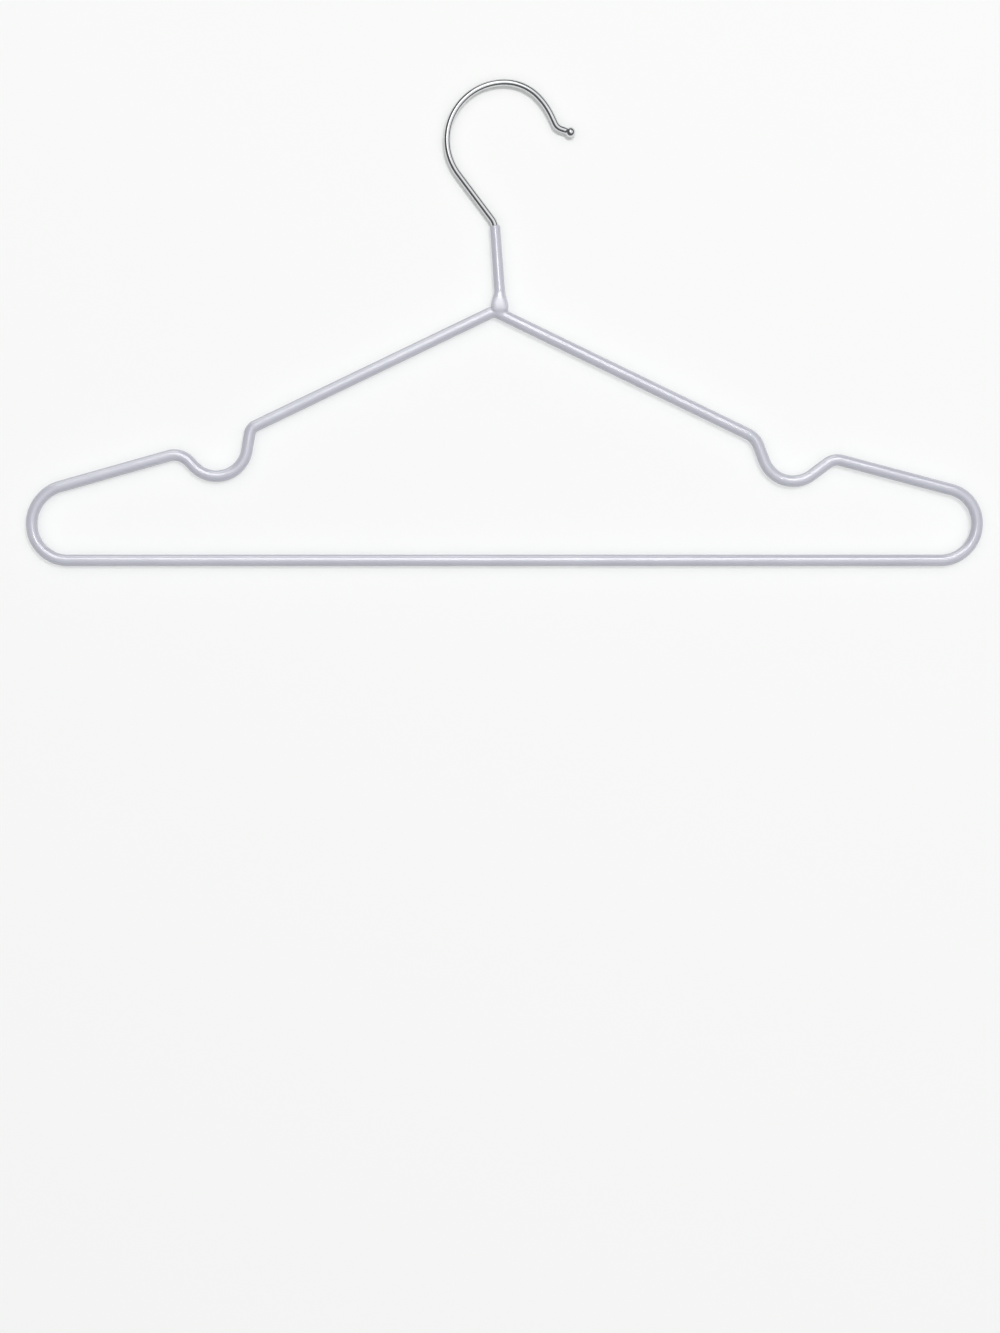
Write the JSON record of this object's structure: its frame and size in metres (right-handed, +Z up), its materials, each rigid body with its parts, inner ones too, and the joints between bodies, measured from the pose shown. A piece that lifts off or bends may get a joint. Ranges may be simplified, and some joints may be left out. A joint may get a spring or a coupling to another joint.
{
  "type": "trouser hanger",
  "caption": "Coated wire hanger with a straight trouser bar, strap notches in the arms and a bare plated hook with a ball tip.",
  "frame": {"origin": "the hook seat: the highest point inside the crook, where the hanger bears on a rail", "axes": "+X along the trouser bar towards the side that the hook opens to, +Y to the back, +Z up"},
  "size_m": [0.4146, 0.0074, 0.2112],
  "materials": {
    "dipped_vinyl": "dip-coated soft vinyl, satin gloss, pale lavender grey",
    "plated_hook": "bright plated steel wire",
    "frame_steel": "drawn mild steel wire, hidden under the coating",
    "weld_metal": "as-welded steel, hidden under the coating"
  },
  "bodies": {
    "root": {"vinyl_coating": "dipped_vinyl", "hook_wire": "plated_hook", "frame_wire": "frame_steel", "frame_butt_weld": "weld_metal", "hook_weld": "weld_metal"}
  },
  "joints": []
}
